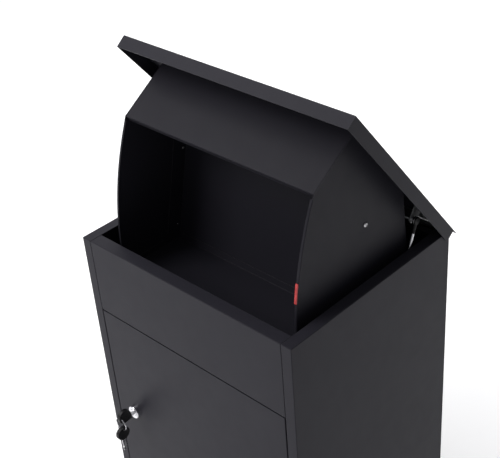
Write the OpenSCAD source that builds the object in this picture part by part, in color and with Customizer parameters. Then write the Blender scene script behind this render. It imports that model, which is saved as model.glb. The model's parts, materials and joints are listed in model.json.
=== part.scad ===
// Parcel drop box: a folded sheet steel cabinet with a hinged lid that carries a rotating hood, and a locked door.
// X runs to the viewer's right, -Y is the front and Z is up. The origin is the centre of the base, on the floor.
// The lid is drawn held open. Sizes are in millimetres.

/* [Cabinet] */
// Width of the cabinet across its side panels
body_w = 440; // [360:1:540]
// Depth of the cabinet from front face to rear face
body_d = 362; // [300:1:440]
// Height of the cabinet up to its rim
body_h = 600; // [500:1:730]
// Thickness of the sheet steel
sheet = 1.2; // [1:0.1:1.5]
// Width of the front return and of the rim lip of each side panel
return_w = 18.6; // [15:0.1:23]
// Depth of the fold behind each front return
return_fold = 14; // [11:0.5:17]
// Width of the rim lip of the upper front panel
front_lip = 22; // [18:0.5:27]
// Height of the fixed upper front panel
front_panel_h = 133.5; // [110:0.5:161]
// Height of the front rail below the door
rail_h = 30; // [24:1:36]
// How far the rear panel wraps round the side panels
rear_wrap = 4.6; // [3.8:0.1:5.6]
// Width of the seams between fixed panels
seam = 0.3; // [0.2:0.05:0.4]
// Height of the folded edges of the bottom panel
bottom_flange = 20; // [16:1:24]

/* [Fixing holes] */
// Radius of the wall and floor fixing holes
fix_hole_r = 4.5; // [3.5:0.25:5.5]
// Distance across the wall holes
wall_hole_x = 300; // [250:5:340]
// Height of the lower wall holes above the floor
wall_hole_low = 150; // [120:5:180]
// Distance up from the lower to the upper wall holes
wall_hole_rise = 300; // [250:5:360]
// Distance across the floor holes
floor_hole_x = 320; // [260:5:340]
// Distance from the front to the rear floor holes
floor_hole_y = 240; // [200:5:280]

/* [Lid] */
// Angle to which the lid opens
lid_open = 51.83; // [43:0.01:62.3]
// Gap between the rim and the underside of the closed lid
lid_gap = 1; // [0.8:0.1:1.2]
// Gap between the lid's side flanges and the cabinet
lid_side_gap = 1.8; // [1.5:0.1:2.2]
// Gap between the lid's front flange and the cabinet
lid_front_gap = 4.5; // [3.5:0.1:5.5]
// How far the lid runs on behind the hinge axis
lid_rear_over = 12.3; // [10:0.1:15]
// Height of the lid's flanges
lid_flange_h = 21; // [17:0.5:26]
// Distance from the rear edge of the lid to the end of its side flanges
lid_flange_stop = 11; // [9:0.5:14]

/* [Lid hinge] */
// Length of the lid hinge
hinge_len = 400; // [334:1:402]
// Number of knuckles
knuckles = 9; // [7:2:11]
// Outer radius of a knuckle
knuckle_r = 3.4; // [2.9:0.1:4.1]
// Radius of the hinge pin
hinge_pin_r = 1.75; // [1.4:0.05:2.1]
// Width of each hinge leaf
leaf_w = 28; // [23:0.5:34]
// Thickness of each hinge leaf
leaf_t = 1.2; // [1:0.1:1.5]

/* [Hood] */
// Width of the hood over its cheeks
hood_w = 377; // [300:1:380]
// Running clearance of the hood inside the front lip
hood_clear = 13; // [10:0.5:16]
// Height of the hood's front plate below the lid
plate_drop = 101; // [84:1:121]
// Lean of the front plate from square with the lid
plate_lean = 5.2; // [4.3:0.1:6.3]
// Radius of the curved front edge of the cheeks
cheek_edge_r = 530; // [450:1:640]
// Depth of the hood along the lid
hood_depth = 77.5; // [64:0.5:93]
// Lean of the back plate from vertical with the lid open
back_lean = 13.1; // [11:0.1:16]
// Width of the back plate's side flanges
back_flange = 28; // [23:0.5:34]
// Depth of the tray below the rim with the lid open
tray_drop = 76; // [63:1:92]
// Set-back of the tray's front edge inside the hood's sweep
tray_setback = 4.4; // [3.5:0.1:5.5]
// Gap along the lid between the cheeks and the strut brackets
cheek_tail_gap = 49.5; // [41:0.5:59]
// Depth of the rear corner of the cheeks below the lid
cheek_tail_drop = 72; // [60:1:86]
// Gap between the rear corner of the cheeks and the rear panel with the lid closed
cheek_rear_gap = 16.7; // [14:0.1:20]
// Width of the small flanges of the hood's plates
hood_flange = 12; // [10:0.5:15]
// Width of the safety flange along the cheeks' curved edge
edge_flange = 3; // [2.5:0.1:3.6]
// Distance of the upper hood screws from the lid along the back plate
hood_screw_upper = 99; // [82:1:119]
// Distance of the lower hood screws from the tray along the back plate
hood_screw_lower = 26.7; // [22:0.1:32]
// Distance of the hood screws in front of the back plate
hood_screw_inset = 6; // [5:0.5:8]
// Length of the coloured edge strip
marker_len = 31; // [26:1:37]
// Height of the coloured strip's lower end above the rim with the lid open
marker_z = 31; // [26:1:37]
// Width of the coloured edge strip
marker_w = 4.2; // [3.5:0.1:5]
// Thickness of the coloured edge strip
marker_t = 2; // [1.6:0.1:2.4]

/* [Gas struts] */
// Distance of the upper ball joint from the lid hinge axis along the lid
strut_top_along = 68; // [57:0.1:81]
// Depth of the upper ball joint below the lid hinge axis with the lid closed
strut_top_drop = 19; // [16:0.1:22]
// Distance of the lower pivot in front of the lid hinge axis
strut_foot_along = 130; // [109:1:156]
// Depth of the lower pivot below the lid hinge axis
strut_foot_drop = 159; // [133:1:190]
// Gap between the struts and the rim lip
strut_side_gap = 3.9; // [3.9:0.1:4.5]
// Radius of the strut's tube
strut_tube_r = 6; // [5:0.1:6.6]
// Wall of the strut's tube
strut_wall = 1.4; // [1.2:0.1:1.7]
// Radius of the strut's rod
strut_rod_r = 2.5; // [2.1:0.1:2.8]
// Radius of the eye at the upper end
strut_eye_r = 6.4; // [5.3:0.1:7.6]
// Width of the eye at the upper end
strut_eye_w = 6.4; // [5.3:0.1:6.8]
// Length of the upper end fitting below its eye's centre
strut_top_end = 20; // [17:0.5:24]
// Radius of the pivot studs
stud_r = 3; // [2.5:0.1:3.6]

/* [Door] */
// Gap round the door
door_gap = 2; // [1.8:0.1:2.4]
// Depth of the door's folded edges
door_fold = 13; // [10.9:0.1:13.2]
// Distance of the door pivot from the door's right edge
pivot_inset = 6; // [5.5:0.1:7.2]
// Depth of the door pivot behind the front face
pivot_depth = 4.2; // [4:0.1:4.4]
// Radius of the door pivot pins
pivot_r = 2.5; // [2:0.1:2.7]
// Width of the door stiffener
stiffener_w = 60; // [50:1:72]

/* [Lock and keys] */
// Distance of the lock from the left edge of the door
lock_inset = 42.4; // [36:0.1:46]
// Height of the lock above the floor
lock_z = 268; // [224:1:322]
// Radius of the lock's head
lock_head_r = 11.8; // [10:0.1:14]
// Thickness of the lock's head
lock_head_t = 6; // [5:0.1:7.2]
// Radius of the lock's threaded barrel
lock_barrel_r = 9.5; // [8.5:0.1:9.9]
// Radius of the turning plug
lock_plug_r = 6; // [5.6:0.1:7.2]
// Length of the cam from the lock's axis
cam_len = 52; // [48:0.5:56]
// Width of the cam
cam_w = 14; // [12:0.5:16]
// Thickness of the cam
cam_t = 2; // [1.7:0.1:2.4]
// Radius of the key bows
bow_r = 12.5; // [10.5:0.1:13]
// Thickness of the key bows
bow_t = 6; // [5:0.5:6]
// Distance of the bow's centre in front of the lock's head
bow_out = 19.5; // [17:0.1:23]
// Height of the bow's centre above the lock's axis
bow_rise = 6.5; // [5:0.1:7]
// Thickness of the key blades
blade_t = 2; // [1.6:0.1:2.4]
// Height of the key blades
blade_h = 8; // [6.7:0.1:8.2]
// Depth to which the key goes into the plug
key_in = 18; // [15:0.5:18.5]
// Length of the spare key's blade
spare_blade_len = 27; // [23:0.5:32]
// Radius of the key ring at the middle of its wire
ring_r = 11.5; // [10.5:0.1:13.8]
// Radius of the key ring's wire
wire_r = 1; // [0.9:0.05:1.1]
// Radius of the hole in each bow
bow_hole_r = 2.2; // [2.1:0.05:2.6]

/* [Hidden] */
// Clearance between a turning shaft and its hole
running = 0.05;
// Clearance between a mechanism's faces
face_gap = 0.3;
// Half sizes of the cabinet
half_w = body_w / 2;
half_d = body_d / 2;
// Half width between the front returns, where the door and the front panels sit
bay_x = half_w - return_w;
// Underside of the upper front panel
front_panel_z = body_h - front_panel_h;
// Depth of the fold that carries the door stops, and the height of the stops
stop_depth = return_fold + sheet + 0.3;
stop_h = 13;
// Lid hinge axis, from the clearances of the knuckles
leaf_clear = 0.4;
knuckle_clear = 0.6;
hinge_y = half_d + leaf_t + face_gap;
hinge_z = body_h + lid_gap - leaf_t - leaf_clear - knuckle_r;
rear_top = hinge_z - knuckle_r - knuckle_clear;
// Underside and ends of the closed lid, measured from the hinge axis
lid_under = body_h + lid_gap - hinge_z;
lid_front = -half_d - lid_front_gap - sheet - hinge_y;
lid_half_w = half_w + lid_side_gap + sheet;
// Outer and inner faces of the cheeks
cheek_x = hood_w / 2;
cheek_in = cheek_x - sheet;
// Width of the tabs that hold the hood under the lid, and the gap between neighbouring tabs
tab_w = 15;
tab_gap = 2;
// Width of the hems on the free edges of the hood's plates
hem_w = 10;
// How far an outline runs on past the edge that cuts it
past = 40;
// Radius and head thickness of the hood screws
hood_screw_r = 2;
hood_screw_head = 1.8;

// Turns a [y, z] point about the X axis
function turn(p, a) = [p.x * cos(a) - p.y * sin(a), p.x * sin(a) + p.y * cos(a)];
function unit(v) = v / norm(v);
function left(v) = [-v.y, v.x];

// Half length of the upper strut brackets along the lid
ear_half = 15;

// Corners of the hood as [y, z] from the hinge axis, with the lid open
sweep_r = hinge_y + half_d - front_lip - hood_clear;
plate_low_z = lid_under - plate_drop;
plate_low_y = -sqrt(pow(sweep_r, 2) - pow(plate_low_z, 2));
plate_top_y = plate_low_y + plate_drop * tan(plate_lean);
plate_top = turn([plate_top_y, lid_under], -lid_open);
plate_low = turn([plate_low_y, plate_low_z], -lid_open);
tray_z = body_h - tray_drop - hinge_z;
tray_front = [-sqrt(pow(sweep_r - tray_setback, 2) - pow(tray_z, 2)), tray_z];
back_top_y = plate_top_y + hood_depth;
back_top = turn([back_top_y, lid_under], -lid_open);
tray_back = [back_top.x - (back_top.y - tray_z) * tan(back_lean), tray_z];
tail_top_y = -strut_top_along - ear_half - cheek_tail_gap;
tail_top = turn([tail_top_y, lid_under], -lid_open);
tail_low_y = half_d - sheet - cheek_rear_gap - hinge_y;
tail_low = turn([tail_low_y, lid_under - cheek_tail_drop], -lid_open);
// Circle of the curved edge, through the low corner of the plate and the front of the tray
edge_chord = tray_front - plate_low;
edge_out = -left(unit(edge_chord));
edge_centre = (plate_low + tray_front) / 2
    - edge_out * sqrt(pow(cheek_edge_r, 2) - pow(norm(edge_chord) / 2, 2));
back_dir = unit(tray_back - back_top);
back_front = -left(back_dir);
// Way along the open lid, towards its rear
lid_dir = turn([1, 0], -lid_open);

// Strut ends as [y, z] from the hinge axis, with the lid open and closed
strut_foot = [-strut_foot_along, -strut_foot_drop];
strut_top_closed = [-strut_top_along, -strut_top_drop];
strut_top = turn(strut_top_closed, -lid_open);
strut_len = norm(strut_top - strut_foot);
strut_travel = strut_len - norm(strut_top_closed - strut_foot);
strut_lean = atan2(strut_top.x - strut_foot.x, strut_top.y - strut_foot.y);
strut_x = bay_x - strut_side_gap;
strut_start = 11;
strut_stop = strut_len - strut_top_end - strut_travel - 3;
strut_bottom_wall = 5;
strut_gland = 8;
piston_gap = 2;
piston_len = 8;
eye_foot_r = stud_r + 3.5;
eye_foot_w = 7;
// Half sizes of the lower brackets, and their screws above and below the stud
foot_plate = [14, 22];
foot_plate_t = 2;
foot_screw_z = 15;
foot_screw_r = 2;

// Door edges
door_x = bay_x - door_gap;
door_z0 = rail_h + door_gap;
door_z1 = front_panel_z - door_gap;
pivot_x = door_x - pivot_inset;
pivot_y = -half_d + pivot_depth;

// Lock along Y
lock_x = -door_x + lock_inset;
lock_face = -half_d - lock_head_t;
cam_y = -half_d + return_fold + 1.4;
plug_end = cam_y - face_gap;
barrel_end = plug_end - face_gap;
lock_flat = 0.84 * lock_barrel_r;
nut_t = 4.5;
nut_r = lock_barrel_r + 4;
tail_side = 7;
bow_y = lock_face - bow_out;
bow_z = lock_z + bow_rise;
// The hole sits near the outer end of each bow
hole_out = bow_r - bow_hole_r - 2.1;
wire_sag = ring_r - sqrt(pow(ring_r, 2) - pow(bow_t / 2, 2));
hang = bow_hole_r - wire_r - wire_sag - 0.25;
hole_y = bow_y - hole_out;
wire_z = bow_z - hang;
spare_hole_z = wire_z - 2 * ring_r - hang;
spare_bow_z = spare_hole_z - hole_out;

powder = [0.23, 0.23, 0.24];
powder_dark = [0.17, 0.17, 0.18];
steel = [0.74, 0.75, 0.77];
chrome = [0.88, 0.88, 0.9];
zinc = [0.62, 0.64, 0.66];
plastic = [0.07, 0.07, 0.08];
signal_red = [0.72, 0.16, 0.16];
nylon = [0.86, 0.85, 0.8];

$fn = 48;

// A box between two opposite corners
module block(low, high) {
    translate(low) cube(high - low);
}

// A rod along X between two places
module rod_x(x0, x1, r) {
    translate([x0, 0, 0]) rotate([0, 90, 0]) cylinder(h = x1 - x0, r = r);
}

// A rod along Y between two places
module rod_y(y0, y1, r) {
    translate([0, y0, 0]) rotate([-90, 0, 0]) cylinder(h = y1 - y0, r = r);
}

// An outline drawn in [y, z] and given its width along X
module slab(x0, x1) {
    translate([x0, 0, 0]) rotate([90, 0, 90]) linear_extrude(x1 - x0) children();
}

// Outline of a sheet that runs from p to q, thick on the left of that way
module strip(p, q, t) {
    side = t * left(unit(q - p));
    polygon([p, q, q + side, p + side]);
}

// Moves a piece to the lid hinge axis
module at_hinge() {
    translate([0, hinge_y, hinge_z]) children();
}

// Moves a piece drawn on the closed lid to its place on the open lid
module on_lid() {
    at_hinge() rotate([-lid_open, 0, 0]) children();
}

module mirrored() {
    mirror([1, 0, 0]) children();
}

module side_panel() {
    wall_end = half_d - rear_wrap - seam;
    inner = half_w - sheet;
    color(powder) union() {
        block([inner, -half_d, 0], [half_w, wall_end, body_h]);
        block([inner, wall_end - sheet, rear_top + seam], [half_w, half_d, body_h]);
        block([bay_x, -half_d, 0], [half_w, -half_d + sheet, body_h]);
        block([bay_x, -half_d, sheet], [bay_x + sheet, -half_d + return_fold, body_h]);
        block([bay_x, -half_d, body_h - sheet], [half_w, half_d, body_h]);
        block([inner - sheet, wall_end - sheet, sheet], [half_w, wall_end, rear_top]);
        block([inner - sheet, wall_end - sheet, sheet], [inner, half_d - sheet, rear_top]);
        block([bay_x, half_d - 2 * sheet, sheet], [inner, half_d - sheet, rear_top]);
    }
}

module right_side_panel() {
    side_panel();
}

module left_side_panel() {
    mirrored() side_panel();
}

module rear_panel() {
    lip = front_lip * 0.7;
    color(powder) difference() {
        union() {
            block([-half_w, half_d - sheet, 0], [half_w, half_d, rear_top]);
            for (side = [0, 1]) mirror([side, 0, 0])
                block([half_w - sheet, half_d - rear_wrap, 0], [half_w, half_d, rear_top]);
            block([-bay_x + seam, half_d - lip, rear_top - sheet], [bay_x - seam, half_d, rear_top]);
        }
        for (x = [-1, 1], z = [0, 1])
            translate([x * wall_hole_x / 2, half_d, wall_hole_low + z * wall_hole_rise])
                rod_y(-2 * sheet, sheet, fix_hole_r);
    }
}

module bottom_panel() {
    inner_x = half_w - sheet;
    inner_y = half_d - sheet;
    corner_gap = 8;
    side_run = half_d - return_fold - corner_gap;
    front_run = bay_x - corner_gap;
    color(powder) difference() {
        union() {
            block([-inner_x, -inner_y, 0], [inner_x, inner_y, sheet]);
            for (side = [0, 1]) {
                mirror([side, 0, 0])
                    block([inner_x - sheet, -side_run, 0], [inner_x, side_run, bottom_flange]);
                mirror([0, side, 0])
                    block([-front_run, inner_y - sheet, 0], [front_run, inner_y, bottom_flange]);
            }
        }
        for (x = [-1, 1], y = [-1, 1])
            translate([x * floor_hole_x / 2, y * floor_hole_y / 2, -sheet])
                cylinder(h = 3 * sheet, r = fix_hole_r);
    }
}

// The stop strips end short of the door's corners
module stop_strip(z0, z1) {
    block(
        [-bay_x + 12, -half_d + stop_depth - sheet, z0],
        [pivot_x - 18, -half_d + stop_depth, z1]
    );
}

module bottom_front_rail() {
    edge = bay_x - seam;
    color(powder) difference() {
        union() {
            block([-edge, -half_d, 0], [edge, -half_d + sheet, rail_h]);
            block([-edge, -half_d, rail_h - sheet], [edge, -half_d + stop_depth, rail_h]);
            stop_strip(rail_h - sheet, rail_h + stop_h);
        }
        translate([pivot_x, pivot_y, rail_h - 2 * sheet]) cylinder(h = 3 * sheet, r = pivot_r);
    }
}

module upper_front_panel() {
    edge = bay_x - seam;
    fold = return_fold - 1;
    color(powder) difference() {
        union() {
            block([-edge, -half_d, front_panel_z], [edge, -half_d + sheet, body_h]);
            block([-edge, -half_d, body_h - sheet], [edge, -half_d + front_lip, body_h]);
            block(
                [-edge, -half_d, front_panel_z],
                [edge, -half_d + stop_depth, front_panel_z + sheet]
            );
            for (side = [0, 1]) mirror([side, 0, 0])
                block([edge - sheet, -half_d, front_panel_z], [edge, -half_d + fold, body_h]);
            stop_strip(front_panel_z - stop_h, front_panel_z + sheet);
        }
        translate([pivot_x, pivot_y, front_panel_z - sheet]) cylinder(h = 3 * sheet, r = pivot_r);
    }
}

// Knuckles of one leaf: those of the cabinet are even, those of the lid are odd
module knuckle_row(first, r, gap) {
    pitch = hinge_len / knuckles;
    for (i = [first : 2 : knuckles - 1])
        rod_x(-hinge_len / 2 + i * pitch + gap, -hinge_len / 2 + (i + 1) * pitch - gap, r);
}

module knuckle_web(first, gap, low, high) {
    pitch = hinge_len / knuckles;
    for (i = [first : 2 : knuckles - 1])
        block(
            [-hinge_len / 2 + i * pitch + gap, low.x, low.y],
            [-hinge_len / 2 + (i + 1) * pitch - gap, high.x, high.y]
        );
}

module hinge_body_leaf() {
    back = half_d - hinge_y;
    top = rear_top - hinge_z;
    web_top = -(hinge_pin_r + knuckle_r) / 2;
    color(zinc) at_hinge() difference() {
        union() {
            block([-hinge_len / 2, back, top - leaf_w], [hinge_len / 2, back + leaf_t, top]);
            knuckle_web(0, face_gap / 2, [back, top - 1], [back + leaf_t, web_top]);
            knuckle_row(0, knuckle_r, face_gap / 2);
        }
        rod_x(-half_w, half_w, hinge_pin_r + running);
    }
}

module hinge_pin() {
    color(steel) at_hinge() rod_x(-hinge_len / 2 - 1, hinge_len / 2 + 1, hinge_pin_r);
}

module hinge_lid_leaf() {
    low = lid_under - leaf_t;
    web_low = (hinge_pin_r + knuckle_r) / 2;
    color(zinc) on_lid() difference() {
        union() {
            block([-hinge_len / 2, -leaf_w, low], [hinge_len / 2, 0, lid_under]);
            knuckle_web(1, face_gap / 2, [-leaf_t, web_low], [0, low + leaf_t / 2]);
            knuckle_row(1, knuckle_r, face_gap / 2);
        }
        rod_x(-half_w, half_w, hinge_pin_r + running);
    }
}

module door_pivot(z0, z1, head_z) {
    color(steel) translate([pivot_x, pivot_y, 0]) union() {
        translate([0, 0, z0]) cylinder(h = z1 - z0, r = pivot_r);
        translate([0, 0, head_z]) cylinder(h = 1.5, r = pivot_depth - sheet - 0.1);
    }
}

module door_upper_pivot() {
    fold_top = front_panel_z + sheet;
    door_pivot(door_z1 - sheet - 3, fold_top + 1, fold_top);
}

module door_lower_pivot() {
    fold_low = rail_h - sheet;
    door_pivot(fold_low - 1, door_z0 + sheet + 3, fold_low - 1.5);
}

// The door turns on this washer
module door_washer() {
    color(nylon) translate([pivot_x, pivot_y, rail_h]) difference() {
        cylinder(h = door_gap - 0.1, r = pivot_r + 1.4);
        translate([0, 0, -1]) cylinder(h = door_gap + 2, r = pivot_r + 0.1);
    }
}

module strut_lower_bracket() {
    wall = half_w - sheet;
    face = wall - foot_plate_t;
    stud_end = strut_x - eye_foot_w / 2 - 1;
    color(zinc) at_hinge() translate([0, strut_foot.x, strut_foot.y]) difference() {
        union() {
            block([face, -foot_plate.x, -foot_plate.y], [wall, foot_plate.x, foot_plate.y]);
            rod_x(stud_end, face, stud_r);
            rod_x(strut_x + eye_foot_w / 2 + 0.5, face, stud_r + 2.5);
        }
        for (side = [-1, 1]) translate([0, 0, side * foot_screw_z])
            rod_x(face - 1, wall + 1, foot_screw_r);
    }
}

module strut_lower_bracket_right() {
    strut_lower_bracket();
}

module strut_lower_bracket_left() {
    mirrored() strut_lower_bracket();
}

module strut_bracket_screws() {
    wall = half_w - sheet;
    face = wall - foot_plate_t;
    color(steel) at_hinge() for (side = [0, 1]) mirror([side, 0, 0])
        for (z = [-foot_screw_z, foot_screw_z])
            translate([0, strut_foot.x, strut_foot.y + z]) union() {
                rod_x(face - 2, face, 1.9 * foot_screw_r);
                rod_x(face - 1, wall, foot_screw_r);
            }
}

module lid_panel() {
    top = lid_under + sheet;
    low = top - lid_flange_h;
    color(powder) on_lid() union() {
        block([-lid_half_w, lid_front, lid_under], [lid_half_w, lid_rear_over, top]);
        block([-lid_half_w, lid_front, low], [lid_half_w, lid_front + sheet, top]);
        for (side = [0, 1]) mirror([side, 0, 0])
            block(
                [lid_half_w - sheet, lid_front + sheet + seam, low],
                [lid_half_w, lid_rear_over - lid_flange_stop, top]
            );
    }
}

// Holes or shanks of the hood screws on the right cheek
module hood_screw_places() {
    for (run = [hood_screw_upper, norm(tray_back - back_top) - hood_screw_lower]) {
        p = back_top + run * back_dir + hood_screw_inset * back_front;
        translate([0, p.x, p.y]) children();
    }
}

module cheek_outline() {
    down = unit(plate_low - plate_top);
    intersection() {
        polygon([
            plate_top, plate_low + past * down, tray_front - [past, 0], tray_back, tail_low, tail_top
        ]);
        translate(edge_centre) circle(r = cheek_edge_r, $fn = 240);
    }
}

// A tab of the right cheek between two places along the closed lid
module cheek_tab(y0, y1) {
    on_lid() block([cheek_in - tab_w, y0, lid_under - sheet], [cheek_in, y1, lid_under]);
}

// The safety flange stops short of both ends of the curved edge
module cheek() {
    along = unit(edge_chord);
    start = plate_low + 7 * along;
    stop = tray_front - 5 * along;
    inside = sheet * 7.5 * edge_out;
    color(powder_dark) union() {
        difference() {
            at_hinge() slab(cheek_in, cheek_x) cheek_outline();
            at_hinge() hood_screw_places() rod_x(cheek_in - 1, cheek_x + 1, hood_screw_r);
        }
        at_hinge() slab(cheek_in - edge_flange, cheek_in) intersection() {
            polygon([start - inside, start + past * edge_out, stop + past * edge_out, stop - inside]);
            translate(edge_centre) difference() {
                circle(r = cheek_edge_r, $fn = 240);
                circle(r = cheek_edge_r - sheet, $fn = 240);
            }
        }
        cheek_tab(plate_top_y + tab_w + 5, back_top_y - tab_gap);
        cheek_tab(back_top_y + sheet + tab_gap, tail_top_y - tab_gap);
    }
}

module right_cheek() {
    cheek();
}

module left_cheek() {
    mirrored() cheek();
}

module hood_front_plate() {
    inward = left(unit(plate_low - plate_top));
    down = unit(plate_low - plate_top);
    tab_end = cheek_in - tab_w - tab_gap;
    hem = plate_low - sheet * down;
    color(powder_dark) union() {
        at_hinge() slab(-cheek_in, cheek_in) {
            strip(plate_top + 0.15 * down, plate_low, sheet);
            strip(hem + hem_w * inward, hem, sheet);
        }
        for (side = [0, 1]) mirror([side, 0, 0]) at_hinge() slab(cheek_in - sheet, cheek_in)
            strip(plate_top + 18 * down, plate_low, hood_flange);
        on_lid() block(
            [-tab_end, plate_top_y, lid_under - sheet],
            [tab_end, plate_top_y + tab_w, lid_under]
        );
    }
}

module hood_back_plate() {
    tab_end = cheek_in - tab_w - tab_gap;
    color(powder_dark) difference() {
        union() {
            at_hinge() slab(-cheek_in, cheek_in) polygon([
                back_top, tray_back, tray_back - sheet * back_front,
                back_top + sheet / cross(back_dir, lid_dir) * lid_dir
            ]);
            for (side = [0, 1]) mirror([side, 0, 0]) at_hinge() slab(cheek_in - sheet, cheek_in)
                strip(
                    tray_back - 14 * back_dir - sheet * back_front,
                    back_top + 40 * back_dir - sheet * back_front,
                    back_flange + sheet
                );
            on_lid() block(
                [-tab_end, back_top_y, lid_under - sheet],
                [tab_end, back_top_y + tab_w, lid_under]
            );
        }
        for (side = [0, 1]) mirror([side, 0, 0]) at_hinge() hood_screw_places()
            rod_x(cheek_in - 2 * sheet, cheek_in + 1, hood_screw_r);
    }
}

module hood_tray() {
    side_start = tray_front + [hood_flange, 0];
    side_stop = [tray_back.x - back_flange - 6, tray_z];
    inset = 8;
    color(powder_dark) union() {
        at_hinge() slab(-cheek_in, cheek_in) {
            polygon([
                tray_front, tray_back, tray_back - back_dir * sheet / cos(back_lean),
                tray_front + [0, sheet]
            ]);
            strip(tray_front - [0, hem_w], tray_front, -sheet);
        }
        at_hinge() slab(-cheek_in + inset, cheek_in - inset)
            strip(tray_back - hood_flange * back_dir, tray_back - 0.5 * back_dir, -sheet);
        for (side = [0, 1]) mirror([side, 0, 0]) at_hinge() slab(cheek_in - sheet, cheek_in)
            polygon([
                side_start, side_stop, side_stop + [0, hood_flange], side_start + [0, hood_flange]
            ]);
    }
}

module hood_screws() {
    color(steel) for (side = [0, 1]) mirror([side, 0, 0]) at_hinge() hood_screw_places() union() {
        rod_x(cheek_x, cheek_x + hood_screw_head, 2 * hood_screw_r);
        rod_x(cheek_in - sheet - 0.5, cheek_x + 1, hood_screw_r);
    }
}

module strut_upper_bracket() {
    ear_x = cheek_x + 0.5;
    ear_t = 1.5;
    ear = strut_top_closed;
    color(zinc) on_lid() union() {
        block(
            [ear_x - 12, ear.x - ear_half, lid_under - ear_t],
            [ear_x + ear_t, ear.x + ear_half, lid_under]
        );
        slab(ear_x, ear_x + ear_t) polygon([
            [ear.x - ear_half, lid_under], ear + [-6, -4], ear + [0, -6.5], ear + [6, -4],
            [ear.x + ear_half, lid_under]
        ]);
        translate([0, ear.x, ear.y])
            rod_x(ear_x, strut_x - strut_eye_w / 2 - face_gap, stud_r);
    }
}

module strut_upper_bracket_right() {
    strut_upper_bracket();
}

module strut_upper_bracket_left() {
    mirrored() strut_upper_bracket();
}

// A coloured strip on the curved edge of the right cheek
module edge_marker() {
    low = body_h - hinge_z + marker_z;
    color(signal_red) at_hinge() slab(cheek_x - marker_w, cheek_x) intersection() {
        translate([-sweep_r - 20, low]) square([60, marker_len]);
        translate(edge_centre) difference() {
            circle(r = cheek_edge_r + marker_t, $fn = 240);
            circle(r = cheek_edge_r + running, $fn = 240);
        }
    }
}

// The lock's hole and barrel have two flats
module lock_section(r, flat, y0, y1) {
    intersection() {
        rod_y(y0, y1, r);
        block([-flat, y0 - 1, -r - 1], [flat, y1 + 1, r + 1]);
    }
}

module door_panel() {
    back = -half_d + door_fold;
    color(powder) difference() {
        union() {
            block([-door_x, -half_d, door_z0], [door_x, -half_d + sheet, door_z1]);
            for (side = [0, 1]) mirror([side, 0, 0])
                block([door_x - sheet, -half_d, door_z0], [door_x, back, door_z1]);
            block([-door_x, -half_d, door_z0], [door_x, back, door_z0 + sheet]);
            block([-door_x, -half_d, door_z1 - sheet], [door_x, back, door_z1]);
        }
        translate([pivot_x, pivot_y, door_z0 - 1]) cylinder(h = sheet + 2, r = pivot_r + running);
        translate([pivot_x, pivot_y, door_z1 - sheet - 1])
            cylinder(h = sheet + 2, r = pivot_r + running);
        translate([lock_x, 0, lock_z]) lock_section(
            lock_barrel_r + running, lock_flat + running, -half_d - 1, -half_d + sheet + 1
        );
    }
}

module door_stiffener() {
    inside = -half_d + sheet;
    web = -half_d + door_fold - sheet;
    half = stiffener_w / 2;
    foot = 12;
    end_gap = 28;
    z0 = door_z0 + end_gap;
    z1 = door_z1 - end_gap;
    color(powder_dark) union() {
        block([-half + foot, web - sheet, z0], [half - foot, web, z1]);
        for (side = [0, 1]) mirror([side, 0, 0]) {
            block([half - foot - sheet, inside, z0], [half - foot, web, z1]);
            block([half - foot - sheet, inside, z0], [half, inside + sheet, z1]);
        }
    }
}

module lock_barrel() {
    chamfer = 1.2;
    length = barrel_end + half_d;
    color(chrome) translate([lock_x, -half_d, lock_z]) difference() {
        union() {
            rotate([-90, 0, 0]) rotate_extrude() polygon([
                [0, 0], [lock_head_r, 0], [lock_head_r, -lock_head_t + chamfer],
                [lock_head_r - chamfer, -lock_head_t], [0, -lock_head_t]
            ]);
            lock_section(lock_barrel_r, lock_flat, -1, length);
        }
        rod_y(-lock_head_t - 1, length + 1, lock_plug_r + running);
    }
}

module lock_nut() {
    start = -half_d + sheet;
    color(zinc) translate([lock_x, 0, lock_z]) difference() {
        translate([0, start, 0]) rotate([-90, 0, 0]) cylinder(h = nut_t, r = nut_r, $fn = 6);
        rod_y(start - 1, start + nut_t + 1, lock_barrel_r + running);
    }
}

module lock_plug() {
    slot_x = blade_t / 2 + running;
    slot_z = blade_h / 2 + running;
    tail = tail_side / 2;
    color(chrome) translate([lock_x, 0, lock_z]) difference() {
        union() {
            rod_y(lock_face, plug_end, lock_plug_r);
            block([-tail, plug_end - 1, -tail], [tail, cam_y + cam_t, tail]);
        }
        block([-slot_x, lock_face - 1, -slot_z], [slot_x, lock_face + key_in + 0.5, slot_z]);
    }
}

module lock_cam() {
    hole = tail_side / 2 + running;
    color(zinc) translate([lock_x, 0, lock_z]) difference() {
        union() {
            rod_y(cam_y, cam_y + cam_t, cam_w / 2);
            block([-cam_w / 2, cam_y, 0], [cam_w / 2, cam_y + cam_t, cam_len - cam_w / 2]);
            translate([0, 0, cam_len - cam_w / 2]) rod_y(cam_y, cam_y + cam_t, cam_w / 2);
        }
        block([-hole, cam_y - 1, -hole], [hole, cam_y + cam_t + 1, hole]);
    }
}

module cam_screw() {
    color(steel) translate([lock_x, 0, lock_z]) rod_y(cam_y + cam_t, cam_y + cam_t + 3, 5.4);
}

// A blade whose lower edge is cut, with its tip at y = 0 and its root at y = -length
module blade(length) {
    cut = blade_h * 0.16;
    top = blade_h / 2;
    slab(-blade_t / 2, blade_t / 2) polygon(concat(
        [[-length, -top], [-length, top], [-2, top], [0, 0.4 * top], [0, -0.4 * top]],
        [for (i = [0 : 8]) [-2 - i * 1.6, -top + (i % 2 == 0 ? 0 : cut * (1 + i % 3 * 0.4))]]
    ));
}

// A round bow in the YZ plane, with its hole towards the given way
module bow(way) {
    difference() {
        rod_x(-bow_t / 2, bow_t / 2, bow_r);
        translate([0, way.x * hole_out, way.y * hole_out]) rod_x(-bow_t, bow_t, bow_hole_r);
    }
}

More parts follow.
